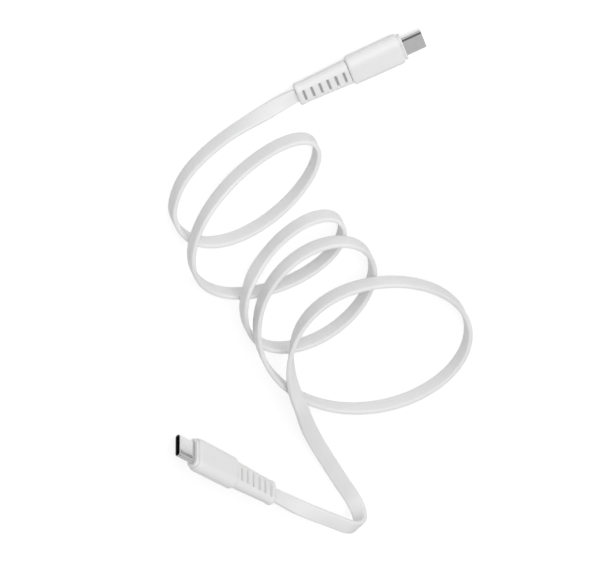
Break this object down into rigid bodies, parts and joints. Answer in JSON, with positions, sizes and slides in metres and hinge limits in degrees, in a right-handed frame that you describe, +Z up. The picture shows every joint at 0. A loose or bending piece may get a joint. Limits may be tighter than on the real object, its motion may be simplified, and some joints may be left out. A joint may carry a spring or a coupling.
{
  "type": "charging cable",
  "caption": "White flat charging cable laid in loose loops, with a small reversible metal plug, a slim housing and a slotted strain relief at each end.",
  "frame": {"origin": "under the middle of the far plug's housing, on the plane that the cable lies on", "axes": "+X the way the far plug goes into its socket, +Z up from the plane, +Y to its left, so the loops and the near plug lie towards -Y and -X"},
  "size_m": [0.1271, 0.195, 0.0127],
  "materials": {
    "cable": "satin white soft jacket",
    "housing": "satin white, smooth",
    "relief": "satin white, soft",
    "shell": "plain nickel-plated steel, satin",
    "insulator": "black, satin",
    "contact": "gold-plated",
    "spring": "plain spring steel",
    "board": "green circuit board",
    "mould": "off-white, matte",
    "ferrule": "plain steel, matte",
    "power_core": "red insulation",
    "ground_core": "black insulation",
    "data_plus_core": "green insulation",
    "data_minus_core": "white insulation",
    "configuration_core": "blue insulation"
  },
  "bodies": {
    "root": {"far_plug_shell": "shell", "far_contact_insulator": "insulator", "far_upper_contact_ground_left": "contact", "far_upper_contact_power_left": "contact", "far_upper_contact_configuration": "contact", "far_upper_contact_data_plus": "contact", "far_upper_contact_data_minus": "contact", "far_upper_contact_power_right": "contact", "far_upper_contact_ground_right": "contact", "far_lower_contact_ground_left": "contact", "far_lower_contact_power_left": "contact", "far_lower_contact_power_right": "contact", "far_lower_contact_ground_right": "contact", "far_side_latch": "spring", "far_upper_ground_spring": "spring", "far_lower_ground_spring": "spring", "far_circuit_board": "board", "far_inner_mould": "mould", "far_crimp_ferrule": "ferrule", "far_cable_end": "cable", "far_power_core": "power_core", "far_data_plus_core": "data_plus_core", "far_configuration_core": "configuration_core", "far_data_minus_core": "data_minus_core", "far_ground_core": "ground_core", "far_housing": "housing", "far_strain_relief": "relief", "near_plug_shell": "shell", "near_contact_insulator": "insulator", "near_upper_contact_ground_left": "contact", "near_upper_contact_power_left": "contact", "near_upper_contact_configuration": "contact", "near_upper_contact_data_plus": "contact", "near_upper_contact_data_minus": "contact", "near_upper_contact_power_right": "contact", "near_upper_contact_ground_right": "contact", "near_lower_contact_ground_left": "contact", "near_lower_contact_power_left": "contact", "near_lower_contact_power_right": "contact", "near_lower_contact_ground_right": "contact", "near_side_latch": "spring", "near_upper_ground_spring": "spring", "near_lower_ground_spring": "spring", "near_circuit_board": "board", "near_inner_mould": "mould", "near_crimp_ferrule": "ferrule", "near_cable_end": "cable", "near_power_core": "power_core", "near_data_plus_core": "data_plus_core", "near_configuration_core": "configuration_core", "near_data_minus_core": "data_minus_core", "near_ground_core": "ground_core", "near_housing": "housing", "near_strain_relief": "relief", "far_cable_lead": "cable", "cable_loops": "cable", "near_cable_lead": "cable"}
  },
  "joints": []
}
